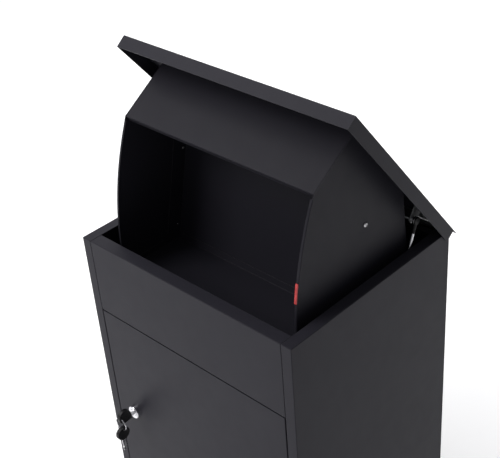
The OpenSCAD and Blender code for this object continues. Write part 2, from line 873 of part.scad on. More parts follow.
module key_blade() {
    root = bow_y + bow_r - 3;
    tip = lock_face + key_in;
    color(steel) translate([lock_x, tip, lock_z]) blade(tip - root);
}

// The bow is cut away where it holds the blade
module key_bow() {
    root = bow_y + bow_r - 3;
    color(plastic) difference() {
        translate([lock_x, bow_y, bow_z]) union() {
            bow([-1, 0]);
            block([-bow_t / 2, 0, -bow_rise - blade_h / 2 - 1], [bow_t / 2, bow_r + 1, 0]);
        }
        block(
            [lock_x - blade_t / 2, root, lock_z - blade_h / 2],
            [lock_x + blade_t / 2, lock_face, lock_z + blade_h / 2]
        );
    }
}

module key_ring() {
    color(chrome) translate([lock_x, hole_y, wire_z - ring_r]) rotate([90, 0, 0])
        rotate_extrude() translate([ring_r, 0]) circle(r = wire_r);
}

module spare_key_blade() {
    root = spare_bow_z - bow_r + 3;
    color(steel) translate([lock_x, hole_y, root - spare_blade_len - 3]) rotate([-90, 0, 0])
        blade(spare_blade_len + 3);
}

module spare_key_bow() {
    root = spare_bow_z - bow_r + 3;
    half = blade_h / 2;
    color(plastic) difference() {
        translate([lock_x, hole_y, spare_bow_z]) bow([0, 1]);
        block(
            [lock_x - blade_t / 2, hole_y - half, root - 20],
            [lock_x + blade_t / 2, hole_y + half, root]
        );
    }
}

// Draws a strut piece upright from its lower pivot, then leans it into place; side is 1 right, -1 left
module on_strut(side) {
    at_hinge() translate([side * strut_x, strut_foot.x, strut_foot.y])
        rotate([-strut_lean, 0, 0]) children();
}

module strut_tube(side) {
    inner = strut_tube_r - strut_wall;
    color(plastic) on_strut(side) rotate_extrude() polygon([
        [0, strut_start], [strut_tube_r, strut_start], [strut_tube_r, strut_stop],
        [strut_rod_r + running, strut_stop], [strut_rod_r + running, strut_stop - strut_gland],
        [inner, strut_stop - strut_gland], [inner, strut_start + strut_bottom_wall],
        [0, strut_start + strut_bottom_wall]
    ]);
}

module strut_rod(side) {
    inner = strut_tube_r - strut_wall;
    piston_top = strut_stop - strut_gland - piston_gap;
    color(chrome) on_strut(side) union() {
        translate([0, 0, piston_top - piston_len])
            cylinder(h = strut_len - strut_top_end - piston_top + piston_len, r = strut_rod_r);
        translate([0, 0, piston_top - piston_len]) cylinder(h = piston_len, r = inner - 2 * running);
    }
}

module strut_lower_end(side) {
    half = eye_foot_w / 2;
    color(plastic) on_strut(side) difference() {
        union() {
            rod_x(-half, half, eye_foot_r);
            translate([0, 0, eye_foot_r / 2])
                cylinder(h = strut_start - eye_foot_r / 2, r = half - 0.3);
        }
        rod_x(-half - 1, half + 1, stud_r + running);
    }
}

module strut_upper_end(side) {
    half = strut_eye_w / 2;
    color(plastic) on_strut(side) translate([0, 0, strut_len]) union() {
        rod_x(-half, half, strut_eye_r);
        translate([0, 0, -strut_top_end]) cylinder(h = strut_top_end, r = half - 0.3);
    }
}

module strut_tube_right() {
    strut_tube(1);
}

module strut_tube_left() {
    strut_tube(-1);
}

module strut_rod_right() {
    strut_rod(1);
}

module strut_rod_left() {
    strut_rod(-1);
}

module strut_lower_end_right() {
    strut_lower_end(1);
}

module strut_lower_end_left() {
    strut_lower_end(-1);
}

module strut_upper_end_right() {
    strut_upper_end(1);
}

module strut_upper_end_left() {
    strut_upper_end(-1);
}

left_side_panel();
right_side_panel();
rear_panel();
bottom_panel();
bottom_front_rail();
upper_front_panel();
hinge_body_leaf();
hinge_pin();
door_upper_pivot();
door_lower_pivot();
door_washer();
strut_lower_bracket_left();
strut_lower_bracket_right();
strut_bracket_screws();
lid_panel();
hinge_lid_leaf();
left_cheek();
right_cheek();
hood_front_plate();
hood_back_plate();
hood_tray();
hood_screws();
strut_upper_bracket_left();
strut_upper_bracket_right();
edge_marker();
door_panel();
door_stiffener();
lock_barrel();
lock_nut();
lock_plug();
lock_cam();
cam_screw();
key_blade();
key_bow();
key_ring();
spare_key_blade();
spare_key_bow();
strut_tube_left();
strut_tube_right();
strut_lower_end_left();
strut_lower_end_right();
strut_rod_left();
strut_rod_right();
strut_upper_end_left();
strut_upper_end_right();
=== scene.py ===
"""Visual model of the parcel drop box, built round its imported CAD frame. Lengths are in metres."""

import json
import math

import bmesh
import bpy
from mathutils import Matrix, Vector

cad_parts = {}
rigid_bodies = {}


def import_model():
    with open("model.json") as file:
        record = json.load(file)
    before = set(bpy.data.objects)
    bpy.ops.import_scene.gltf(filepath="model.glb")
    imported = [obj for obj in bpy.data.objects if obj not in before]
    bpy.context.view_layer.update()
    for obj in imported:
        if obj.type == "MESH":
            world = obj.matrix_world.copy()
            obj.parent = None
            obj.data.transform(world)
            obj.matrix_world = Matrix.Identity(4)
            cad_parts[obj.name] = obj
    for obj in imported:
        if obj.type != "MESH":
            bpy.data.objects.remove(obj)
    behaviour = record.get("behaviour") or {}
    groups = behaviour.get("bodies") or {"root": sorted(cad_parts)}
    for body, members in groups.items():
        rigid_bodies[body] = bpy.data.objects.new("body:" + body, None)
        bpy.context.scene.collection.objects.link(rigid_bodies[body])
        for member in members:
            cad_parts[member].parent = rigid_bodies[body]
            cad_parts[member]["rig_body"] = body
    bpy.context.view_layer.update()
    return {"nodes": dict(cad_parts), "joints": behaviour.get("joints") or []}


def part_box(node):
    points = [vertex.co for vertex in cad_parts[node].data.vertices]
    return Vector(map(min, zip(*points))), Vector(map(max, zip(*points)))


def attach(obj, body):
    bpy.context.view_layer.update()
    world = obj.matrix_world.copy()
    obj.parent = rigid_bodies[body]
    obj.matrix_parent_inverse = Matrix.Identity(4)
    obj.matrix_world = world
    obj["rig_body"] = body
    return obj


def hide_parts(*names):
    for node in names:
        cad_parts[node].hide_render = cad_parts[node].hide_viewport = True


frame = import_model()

MM = 0.001
SCENE = bpy.context.scene
NODES = frame["nodes"]
JOINTS = {joint["name"]: joint for joint in frame["joints"]}

# The photograph's viewpoint, in degrees, and the lens in millimetres
CAMERA_PLACE = (0.9819, -0.9663, 1.5109)
CAMERA_AZIMUTH = 46.26
CAMERA_ELEVATION = 33.16
CAMERA_ROLL = -4.76
CAMERA_LENS = 76.87
CAMERA_SENSOR = 36

# Strength of the studio's light, from its dark right side to its bright front left
WORLD_DIM = 0.02
WORLD_BRIGHT = 0.40

# Name, place, aim, size, watts and colour of each soft light
LIGHTS = [
    ("key_light", (-1.4, -2.1, 2.7), (0, 0, 0.45), 1.5, 54, (1.0, 0.985, 1.0)),
    ("hood_light", (-1.5, -0.75, 2.7), (0, -0.1, 0.75), 1.3, 16, (0.99, 0.98, 1.0)),
    ("fill_light", (2.6, -1.6, 1.5), (0, 0, 0.4), 2.0, 0.6, (0.98, 0.98, 1.0)),
    ("top_light", (0.2, 0.9, 3.2), (0, 0, 0.5), 2.2, 10, (1, 1, 1)),
    ("floor_light", (-1.0, 1.9, 2.4), (-0.7, 1.5, 0), 2.6, 55, (1, 1, 1)),
]

# The floor's half width, and its depth under the object's feet, so that the two never share a plane
FLOOR_HALF = 14.0
FLOOR_DROP = 0.4 * MM

# Radii of the folds of a sheet and of its cut edges
FOLD_OUTSIDE = 1.1 * MM
FOLD_INSIDE = 0.3 * MM
CUT_EDGE = 0.12 * MM
BRACKET_FOLD = 0.6 * MM
# A face narrower than this is the cut edge of a sheet
SHEET_EDGE = 2.6 * MM
# Corners nearer than the first are one, and triangles lower than the second have no width
SAME_CORNER = 0.001 * MM
SLIVER = 0.002 * MM

# Sizes inside the CAD nodes that their boxes don't give
EYE_R = 6.4 * MM
TUBE_WALL = 1.4 * MM
TUBE_END = 5 * MM
GLAND = 8 * MM
ROD_R = 2.5 * MM
LEAF_T = 1.2 * MM
BARREL_R = 9.5 * MM
BARREL_FLAT = 0.84 * BARREL_R
LID_OPEN = math.radians(51.83)
# Clearance round a shaft
RUNNING = 0.05 * MM
# Head radius, head height and shank radius of the screws
HOOD_SCREW = (4 * MM, 1.8 * MM, 2 * MM)
BRACKET_SCREW = (3.8 * MM, 2 * MM, 2 * MM)


# ---------------------------------------------------------------- camera and stage


def set_camera():
    """Puts the camera at the photograph's viewing angle."""
    camera = bpy.data.objects.new("camera", bpy.data.cameras.new("camera"))
    SCENE.collection.objects.link(camera)
    camera.data.lens = CAMERA_LENS
    camera.data.sensor_width = CAMERA_SENSOR
    camera.matrix_world = (
        Matrix.Translation(CAMERA_PLACE)
        @ Matrix.Rotation(math.radians(CAMERA_AZIMUTH), 4, "Z")
        @ Matrix.Rotation(math.radians(90 - CAMERA_ELEVATION), 4, "X")
        @ Matrix.Rotation(math.radians(CAMERA_ROLL), 4, "Z")
    )
    SCENE.camera = camera


def softbox(name, place, aim, size, watts, colour):
    """A square area light at place, facing aim."""
    light = bpy.data.lights.new(name, "AREA")
    light.shape = "SQUARE"
    light.size = size
    light.energy = watts
    light.color = colour
    lamp = bpy.data.objects.new(name, light)
    SCENE.collection.objects.link(lamp)
    way = Vector(aim) - Vector(place)
    turn = way.to_track_quat("-Z", "Y").to_matrix().to_4x4()
    lamp.matrix_world = Matrix.Translation(place) @ turn


def set_world():
    """A pale studio, brightest to the front left. The camera itself sees plain white."""
    world = bpy.data.worlds.new("studio")
    SCENE.world = world
    world.use_nodes = True
    graph = world.node_tree
    graph.nodes.clear()
    add = graph.nodes.new
    link = graph.links.new
    place = add("ShaderNodeTexCoord")
    facing = add("ShaderNodeVectorMath")
    facing.operation = "DOT_PRODUCT"
    facing.inputs[1].default_value = Vector((-0.60, -0.62, 0.50)).normalized()
    link(place.outputs["Generated"], facing.inputs[0])
    level = add("ShaderNodeMapRange")
    level.interpolation_type = "SMOOTHSTEP"
    level.inputs["From Min"].default_value = -1
    level.inputs["From Max"].default_value = 1
    level.inputs["To Min"].default_value = WORLD_DIM
    level.inputs["To Max"].default_value = WORLD_BRIGHT
    link(facing.outputs["Value"], level.inputs["Value"])
    lit = add("ShaderNodeBackground")
    lit.inputs["Color"].default_value = (0.96, 0.95, 1, 1)
    link(level.outputs["Result"], lit.inputs["Strength"])
    seen = add("ShaderNodeBackground")
    seen.inputs["Color"].default_value = (1, 1, 1, 1)
    ray = add("ShaderNodeLightPath")
    mix = add("ShaderNodeMixShader")
    link(ray.outputs["Is Camera Ray"], mix.inputs["Fac"])
    link(lit.outputs["Background"], mix.inputs[1])
    link(seen.outputs["Background"], mix.inputs[2])
    out = add("ShaderNodeOutputWorld")
    link(mix.outputs["Shader"], out.inputs["Surface"])


def set_stage():
    """Pale floor, soft lights, studio and camera."""
    cells = 4
    bm = bmesh.new()
    bmesh.ops.create_grid(bm, x_segments=cells, y_segments=cells, size=FLOOR_HALF)
    mesh = bpy.data.meshes.new("floor")
    bm.to_mesh(mesh)
    bm.free()
    floor = bpy.data.objects.new("floor", mesh)
    SCENE.collection.objects.link(floor)
    floor.location.z = -FLOOR_DROP
    mesh.materials.append(floor_look())
    for light in LIGHTS:
        softbox(*light)
    set_world()
    set_camera()
    SCENE.view_settings.view_transform = "Standard"


# ---------------------------------------------------------------- materials


class Look:
    """One procedural material on the object's own coordinates, in metres."""

    def __init__(self, name, **sockets):
        self.material = bpy.data.materials.new("look_" + name)
        self.material.use_nodes = True
        self.graph = self.material.node_tree
        self.shader = self.graph.nodes["Principled BSDF"]
        self.place = self.add("ShaderNodeTexCoord").outputs["Object"]
        for socket, value in sockets.items():
            self.shader.inputs[socket.replace("_", " ")].default_value = value

    def add(self, kind, **settings):
        """A new shader node."""
        node = self.graph.nodes.new(kind)
        for key, value in settings.items():
            setattr(node, key, value)
        return node

    def link(self, source, socket):
        """Joins an output to an input."""
        self.graph.links.new(source, socket)

    def stretched(self, scale):
        """The coordinates, stretched by a factor along each axis."""
        node = self.add("ShaderNodeMapping")
        node.inputs["Scale"].default_value = scale
        self.link(self.place, node.inputs["Vector"])
        return node.outputs["Vector"]

    def noise(self, per_metre, detail=2.0, roughness=0.5, at=None):
        """A cloudy pattern, 0 to 1."""
        node = self.add("ShaderNodeTexNoise")
        node.inputs["Scale"].default_value = per_metre
        node.inputs["Detail"].default_value = detail
        node.inputs["Roughness"].default_value = roughness
        self.link(at or self.place, node.inputs["Vector"])
        return node.outputs["Fac"]

    def cells(self, per_metre):
        """A pattern of cells, each of its own shade."""
        node = self.add("ShaderNodeTexVoronoi")
        node.inputs["Scale"].default_value = per_metre
        self.link(self.place, node.inputs["Vector"])
        return node.outputs["Color"]

    def spread(self, value, low, high, start=0.3, stop=0.7):
        """Maps start to stop, the middle of a noise, onto low to high."""
        node = self.add("ShaderNodeMapRange")
        node.inputs["From Min"].default_value = start
        node.inputs["From Max"].default_value = stop
        node.inputs["To Min"].default_value = low
        node.inputs["To Max"].default_value = high
        self.link(value, node.inputs["Value"])
        return node.outputs["Result"]

    def combine(self, one, other, operation):
        """One value of two, each a number or an output."""
        node = self.add("ShaderNodeMath", operation=operation)
        for socket, value in zip(node.inputs, (one, other)):
            if isinstance(value, (int, float)):
                socket.default_value = value
            else:
                self.link(value, socket)
        return node.outputs["Value"]

    def blend(self, amount, one, other):
        """Mixes two colours, each a value or another mix."""
        node = self.add("ShaderNodeMix", data_type="RGBA")
        self.link(amount, node.inputs["Factor"])
        for socket, colour in zip((node.inputs[6], node.inputs[7]), (one, other)):
            if isinstance(colour, tuple):
                socket.default_value = (*colour, 1)
            else:
                self.link(colour, socket)
        return node.outputs[2]

    def edges(self, radius, patch=160):
        """1 along rounded edges and corners, broken up by a noise, and 0 on flat faces."""
        rounded = self.add("ShaderNodeBevel", samples=4)
        rounded.inputs["Radius"].default_value = radius
        flat = self.add("ShaderNodeNewGeometry")
        dot = self.add("ShaderNodeVectorMath", operation="DOT_PRODUCT")
        self.link(rounded.outputs["Normal"], dot.inputs[0])
        self.link(flat.outputs["Normal"], dot.inputs[1])
        edge_mask = self.spread(dot.outputs["Value"], 1, 0, 0.80, 0.985)
        return self.combine(edge_mask, self.spread(self.noise(patch, 3), 0.35, 1), "MULTIPLY")

    def bump(self, *layers):
        """Adds bumps of (height, depth in metres) one on another."""
        normal = None
        for height, depth in layers:
            node = self.add("ShaderNodeBump")
            node.inputs["Strength"].default_value = 1.0
            node.inputs["Distance"].default_value = depth
            self.link(height, node.inputs["Height"])
            if normal:
                self.link(normal, node.inputs["Normal"])
            normal = node.outputs["Normal"]
        self.link(normal, self.shader.inputs["Normal"])

    def colour(self, value):
        """Gives the shader its colour."""
        self.link(value, self.shader.inputs["Base Color"])

    def rough(self, value):
        """Gives the shader its roughness."""
        self.link(value, self.shader.inputs["Roughness"])


def powder_look(name, shade, tint=1.0):
    """Satin powder coat: orange peel, cloudy colour, and polished bends painted paler, partly as edge
    wear and partly as a painted highlight.
    """
    look = Look(name, Specular_IOR_Level=0.11)
    dark = (shade * 0.96, shade * 0.93, shade * 0.96 * tint)
    pale = (shade * 1.04, shade * 1.01, shade * 1.04 * tint)
    cloudy = look.blend(look.spread(look.noise(5, 3), 0, 1), dark, pale)
    specks = look.spread(look.noise(3200, 1), 0, 0.35, 0.66, 0.80)
    speckled = look.blend(specks, cloudy, (shade * 2.2,) * 3)
    # Bends and edges are painted paler: partly edge wear, partly a painted highlight for the light that
    # the bends catch
    edge_mask = look.edges(1.6 * MM)
    painted_highlight_and_wear = look.combine(edge_mask, 0.75, "MULTIPLY")
    look.colour(look.blend(painted_highlight_and_wear, speckled, (shade * 2.8, shade * 2.75, shade * 2.9)))
    matt = look.spread(look.noise(38, 4), 0.43, 0.48)
    look.rough(look.combine(matt, look.combine(edge_mask, 0.10, "MULTIPLY"), "SUBTRACT"))
    look.bump((look.noise(420, 2), 0.05 * MM), (look.noise(1500, 2), 0.012 * MM))
    return look.material


def chrome_look():
    """Chrome with a slight haze and fine scuffs."""
    look = Look("chrome_plate", Metallic=1.0)
    haze = look.spread(look.noise(900, 3), 0, 1)
    look.colour(look.blend(haze, (0.66, 0.66, 0.68), (0.80, 0.80, 0.82)))
    scuffs = look.noise(140, 6, 0.7, look.stretched((1, 9, 3)))
    look.rough(look.spread(scuffs, 0.07, 0.24))
    look.bump((look.noise(2600, 2, 0.5, look.stretched((1, 6, 1))), 0.004 * MM))
    return look.material


def zinc_look():
    """Zinc plate with a fine spangle."""
    look = Look("zinc_plate", Metallic=1.0)
    spangle = look.spread(look.cells(420), 0, 1, 0.1, 0.9)
    look.colour(look.blend(spangle, (0.40, 0.41, 0.42), (0.54, 0.55, 0.55)))
    look.rough(look.spread(look.noise(260, 4), 0.28, 0.46))
    look.bump((look.noise(1200, 3), 0.012 * MM))
    return look.material


def steel_look():
    """Bright steel with drawn streaks."""
    look = Look("bright_steel", Metallic=1.0)
    streaks = look.noise(160, 5, 0.6, look.stretched((1, 1, 14)))
    look.colour(look.blend(look.spread(streaks, 0, 1), (0.46, 0.46, 0.47), (0.62, 0.62, 0.63)))
    look.rough(look.spread(streaks, 0.20, 0.36))
    look.bump((streaks, 0.010 * MM))
    return look.material


def plastic_look():
    """Matt black moulded plastic."""
    look = Look("black_plastic", Specular_IOR_Level=0.28)
    shade = look.spread(look.noise(120, 3), 0, 1)
    base = look.blend(shade, (0.006, 0.006, 0.0065), (0.011, 0.011, 0.0115))
    look.colour(look.blend(look.edges(0.5 * MM, 600), base, (0.045, 0.045, 0.046)))
    look.rough(look.spread(look.noise(700, 2), 0.36, 0.52))
    look.bump((look.noise(2400, 1), 0.015 * MM))
    return look.material


def paint_look():
    """Black gloss paint, as on the struts' tubes."""
    look = Look("black_paint", Coat_Weight=0.3, Coat_Roughness=0.15)
    shade = look.spread(look.noise(60, 3), 0, 1)
    base = look.blend(shade, (0.012, 0.012, 0.013), (0.022, 0.022, 0.023))
    look.colour(look.blend(look.edges(0.5 * MM, 500), base, (0.10, 0.10, 0.10)))
    look.rough(look.spread(look.noise(400, 2), 0.26, 0.40))
    look.bump((look.noise(700, 2), 0.02 * MM))
    return look.material


def red_look():
    """Red strip on the hood's edge."""
    look = Look("red_strip")
    shade = look.spread(look.noise(180, 3), 0, 1)
    base = look.blend(shade, (0.40, 0.020, 0.022), (0.58, 0.040, 0.040))
    look.colour(look.blend(look.edges(0.5 * MM, 500), base, (0.65, 0.16, 0.14)))
    look.rough(look.spread(look.noise(500, 2), 0.32, 0.48))
    look.bump((look.noise(1100, 2), 0.02 * MM))
    return look.material


def nylon_look():
    """Pale nylon of the door's washer."""
    look = Look("nylon", Subsurface_Weight=0.1)
    shade = look.spread(look.noise(200, 3), 0, 1)
    look.colour(look.blend(shade, (0.66, 0.65, 0.60), (0.78, 0.77, 0.72)))
    look.rough(look.spread(look.noise(600, 2), 0.40, 0.55))
    look.bump((look.noise(1500, 2), 0.01 * MM))
    return look.material


def floor_look():
    """Plain pale floor, which glows a little so that it stays white."""
    look = Look("floor", Roughness=0.9, Emission_Strength=0.27)
    shade = look.spread(look.noise(0.8, 2), 0, 1)
    look.colour(look.blend(shade, (0.90, 0.90, 0.90), (0.93, 0.93, 0.93)))
    look.bump((look.noise(60, 2), 0.05 * MM))
    look.shader.inputs["Emission Color"].default_value = (1, 1, 1, 1)
    return look.material


LOOKS = {
    "powder_coat": powder_look("powder_coat", 0.020, 1.28),
    "powder_coat_hood": powder_look("powder_coat_hood", 0.0165, 1.28),
    "zinc_plate": zinc_look(),
    "bright_steel": steel_look(),
    "chrome_plate": chrome_look(),
    "black_plastic": plastic_look(),
    "black_paint": paint_look(),
    "red_strip": red_look(),
    "nylon": nylon_look(),
}


# ---------------------------------------------------------------- mesh tools


def body_of(node):
    """The body that a CAD node rides."""
    return NODES[node]["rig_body"]


def slot_of(node):
    """The record slot of a CAD node's material."""
    return NODES[node].data.materials[0].name


def middle(node):
    """The centre of a CAD node's box."""
    low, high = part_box(node)
    return (low + high) / 2


def close_slivers(bm):
    """Takes out triangles that have no width: their middle corner joins the neighbour's edge."""
    for face in list(bm.faces):
        if not face.is_valid or len(face.verts) != 3:
            continue
        edge = max(face.edges, key=lambda e: e.calc_length())
        if face.calc_area() / edge.calc_length() > SLIVER:
            continue
        corner = next(v for v in face.verts if v not in edge.verts)
        start = edge.verts[0]
        part = (corner.co - start.co).length / edge.calc_length()
        fresh = bmesh.utils.edge_split(edge, start, part)[1]
        bmesh.ops.weld_verts(bm, targetmap={fresh: corner})


def cad_mesh(node):
    """A clean copy of a CAD node's mesh, with one face for each flat side."""
    source = NODES[node].data
    bm = bmesh.new()
    corners = [bm.verts.new(vertex.co) for vertex in source.vertices]
    for face in source.polygons:
        bm.faces.new([corners[i] for i in face.vertices])
    bmesh.ops.remove_doubles(bm, verts=bm.verts, dist=SAME_CORNER)
    close_slivers(bm)
    bmesh.ops.dissolve_limit(bm, angle_limit=math.radians(0.5), verts=bm.verts, edges=bm.edges)
    return bm


def islands(node):
    """The middle of each separate solid in a CAD node, and its half sizes."""
    bm = cad_mesh(node)
    left = set(bm.verts)
    found = []
    while left:
        group = {left.pop()}
        front = list(group)
        while front:
            vertex = front.pop()
            near = {edge.other_vert(vertex) for edge in vertex.link_edges} & left
            left -= near
            group |= near
            front.extend(near)
        low = Vector(min(v.co[i] for v in group) for i in range(3))
        high = Vector(max(v.co[i] for v in group) for i in range(3))
        found.append(((low + high) / 2, (high - low) / 2))
    bm.free()
    return found


def add_piece(name, bm, body, slot, replaced=(), bevel=0, segments=2, angle=35):
    """Makes a piece of a mesh, which rides on a body, has a slot's look and may stand for CAD nodes."""
    bmesh.ops.recalc_face_normals(bm, faces=bm.faces)
    mesh = bpy.data.meshes.new(name)
    bm.to_mesh(mesh)
    bm.free()
    mesh.shade_smooth()
    mesh.set_sharp_from_angle(angle=math.radians(angle))
    mesh.materials.append(LOOKS[slot])
    piece = bpy.data.objects.new(name, mesh)
    SCENE.collection.objects.link(piece)
    if bevel:
        rounding = piece.modifiers.new("rounding", "BEVEL")
        rounding.width = bevel
        rounding.segments = segments
        rounding.limit_method = "ANGLE"
        rounding.angle_limit = math.radians(angle)
        rounding.harden_normals = True
    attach(piece, body)
    if replaced:
        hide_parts(*replaced)
    return piece


def across(face, edge):
    """How far a face runs from the middle of one of its edges, square to that edge."""
    base = next(loop for loop in face.loops if loop.edge == edge)
    begin = base.vert.co
    end = base.link_loop_next.vert.co
    along = (end - begin).normalized()
    inward = face.normal.cross(along)
    centre = (begin + end) / 2
    nearest = math.inf
    for loop in face.loops:
        if loop == base:
            continue
        one = loop.vert.co - centre
        other = loop.link_loop_next.vert.co - centre
        one_side = one.dot(along)
        other_side = other.dot(along)
        if one_side * other_side <= 0 and one_side != other_side:
            share = (other - one).dot(inward) * one_side / (one_side - other_side)
            run = one.dot(inward) + share
            if run > 0.01 * MM:
                nearest = min(nearest, run)
    return nearest


def folded(node, outside=FOLD_OUTSIDE):
    """A sheet in place of a CAD node: its folds get bend radii, and its cut edges are deburred."""
    bm = cad_mesh(node)
    bm.normal_update()
    weight = bm.edges.layers.float.new("bevel_weight_edge")
    for edge in bm.edges:
        if edge.calc_face_angle(0) < math.radians(20):
            continue
        width = min(across(face, edge) for face in edge.link_faces)
        if min(width, edge.calc_length()) < SHEET_EDGE:
            edge[weight] = CUT_EDGE / outside
        elif edge.is_convex:
            edge[weight] = 1
        else:
            edge[weight] = FOLD_INSIDE / outside
    piece = add_piece("sheet_" + node, bm, body_of(node), slot_of(node), [node])
    rounding = piece.modifiers.new("folds", "BEVEL")
    rounding.width = outside
    rounding.segments = 3
    rounding.limit_method = "WEIGHT"
    rounding.use_clamp_overlap = False
    flat = piece.modifiers.new("flat_faces", "WEIGHTED_NORMAL")
    flat.mode = "FACE_AREA"
    flat.weight = 100
    flat.keep_sharp = True


def lathe(bm, profile, place=Matrix(), steps=48, closed=False):
    """Turns (radius, height) points about the Z axis of place."""
    turns = [2 * math.pi * i / steps for i in range(steps)]
    rings = []
    for radius, height in profile:
        if radius:
            ring = [Vector((radius * math.cos(t), radius * math.sin(t), height)) for t in turns]
        else:
            ring = [Vector((0, 0, height))]
        rings.append([bm.verts.new(place @ point) for point in ring])
    pairs = list(zip(rings, rings[1:]))
    if closed:
        pairs.append((rings[-1], rings[0]))
    for low, high in pairs:
        for i in range(steps):
            j = (i + 1) % steps
            corners = (low[i % len(low)], low[j % len(low)], high[j % len(high)], high[i % len(high)])
            bm.faces.new(dict.fromkeys(corners))


def arc(centre, radius, start, stop, steps=6):
    """Points of a profile's round stretch, from angle start to stop in degrees."""
    turns = [math.radians(start + (stop - start) * i / steps) for i in range(steps + 1)]
    return [(centre[0] + radius * math.cos(t), centre[1] + radius * math.sin(t)) for t in turns]


def upright(origin, way):
    """A frame at origin whose Z axis points along way."""
    return Matrix.Translation(origin) @ Vector(way).to_track_quat("Z", "Y").to_matrix().to_4x4()


def box_mesh(bm, low, high, place=Matrix()):
    """A box between two corners in place."""
    made = bmesh.ops.create_cube(bm, size=1)["verts"]
    low = Vector(low)
    high = Vector(high)
    size = high - low
    shape = Matrix.Translation((low + high) / 2) @ Matrix.Diagonal((*size, 1))
    bmesh.ops.transform(bm, matrix=place @ shape, verts=made)


def carved(bm, cutter):
    """The mesh with the cutter's shape taken out."""
    holders = []
    for label, content in (("work", bm), ("cutter", cutter)):
        bmesh.ops.recalc_face_normals(content, faces=content.faces)
        mesh = bpy.data.meshes.new(label)
        content.to_mesh(mesh)
        content.free()
        holder = bpy.data.objects.new(label, mesh)
        SCENE.collection.objects.link(holder)
        holders.append(holder)
    cut = holders[0].modifiers.new("cut", "BOOLEAN")
    cut.object = holders[1]
    cut.solver = "EXACT"
    bpy.context.view_layer.update()
    made = bpy.data.meshes.new_from_object(
        holders[0].evaluated_get(bpy.context.evaluated_depsgraph_get())
    )
    result = bmesh.new()
    result.from_mesh(made)
    for holder in holders:
        mesh = holder.data
        bpy.data.objects.remove(holder)
        bpy.data.meshes.remove(mesh)
    bpy.data.meshes.remove(made)
    return result


def reach(node, origin, way):
    """Where a CAD node begins and ends along a direction from origin."""
    way = Vector(way).normalized()
    runs = [(v.co - Vector(origin)).dot(way) for v in NODES[node].data.vertices]
    return min(runs), max(runs)


# ---------------------------------------------------------------- pieces

# Sheets with wide bends, and smaller flat parts with narrow ones
SHEETS = [
    "left_side_panel", "right_side_panel", "rear_panel", "bottom_panel", "bottom_front_rail",
    "upper_front_panel", "lid_panel", "left_cheek", "right_cheek", "hood_front_plate",
    "hood_back_plate", "hood_tray", "door_panel", "door_stiffener",
]
BRACKETS = [
    "strut_lower_bracket_left", "strut_lower_bracket_right", "strut_upper_bracket_left",
    "strut_upper_bracket_right", "hinge_body_leaf", "hinge_lid_leaf", "lock_cam",
]


def build_screws(node, head_radius, head_height, shank_radius):
    """Pan-head screws with a cross recess, whose heads are where the CAD node's heads are."""
    head = bmesh.new()
    crown = 0.45 * head_height
    lathe(head, [
        (0, head_height), (head_radius * 0.45, head_height * 0.97),
        (head_radius * 0.75, head_height * 0.85), (head_radius * 0.94, crown + 0.1 * head_height),
        (head_radius, crown * 0.6), (head_radius, 0), (0, 0),
    ], steps=32)
    cross = bmesh.new()
    wing = 0.58 * head_radius
    slit = 0.13 * head_radius
    box_mesh(cross, (-wing, -slit, 0.42 * head_height), (wing, slit, 2 * head_height))
    other = bmesh.new()
    box_mesh(other, (-slit, -wing, 0.42 * head_height), (slit, wing, 2 * head_height))
    head = carved(carved(head, cross), other)
    mould = bpy.data.meshes.new("screw_mould")
    head.to_mesh(mould)
    head.free()
    bm = bmesh.new()
    # Each cross stands at another angle
    turn = 0
    for centre, half in islands(node):
        outer = 1 if centre.x > 0 else -1
        # The strut brackets' screws have their heads inside the cabinet
        if node == "strut_bracket_screws":
            outer = -outer
        face = centre.x + outer * (half.x - head_height)
        place = upright((face, centre.y, centre.z), (outer, 0, 0))
        turn += 37
        before = set(bm.verts)
        bm.from_mesh(mould)
        fresh = [v for v in bm.verts if v not in before]
        bmesh.ops.transform(
            bm, matrix=place @ Matrix.Rotation(math.radians(turn), 4, "Z"), verts=fresh
        )
        length = 2 * half.x - head_height
        lathe(bm, [
            (0, 0.01 * MM), (shank_radius, 0.01 * MM), (shank_radius, -length + 0.3 * MM),
            (shank_radius - 0.3 * MM, -length), (0, -length),
        ], place, steps=24)
    bpy.data.meshes.remove(mould)
    add_piece("screws_" + node, bm, body_of(node), slot_of(node), [node], 0.08 * MM)


def build_sheets():
    """Every sheet and flat part, with its bends and cut edges."""
    for node in SHEETS:
        folded(node)
    for node in BRACKETS:
        folded(node, BRACKET_FOLD)


def build_edge_strip():
    """The red strip, with soft edges."""
    strip = cad_mesh("edge_marker")
    add_piece("edge_strip", strip, "lid", "red_strip", ["edge_marker"], 0.5 * MM, 3)


def build_hinge():
    """The lid hinge's pin, with domed ends."""
    low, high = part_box("hinge_pin")
    radius = (high.y - low.y) / 2
    centre = middle("hinge_pin")
    length = high.x - low.x
    dome = 0.8 * MM
    bm = bmesh.new()
    lathe(bm, [
        (0, 0), (radius * 0.7, 0.12 * MM), (radius, dome), (radius, length - dome),
        (radius * 0.7, length - 0.12 * MM), (0, length),
    ], upright((low.x, centre.y, centre.z), (1, 0, 0)), 24)
    add_piece("lid_hinge_pin", bm, "cabinet", "bright_steel", ["hinge_pin"])


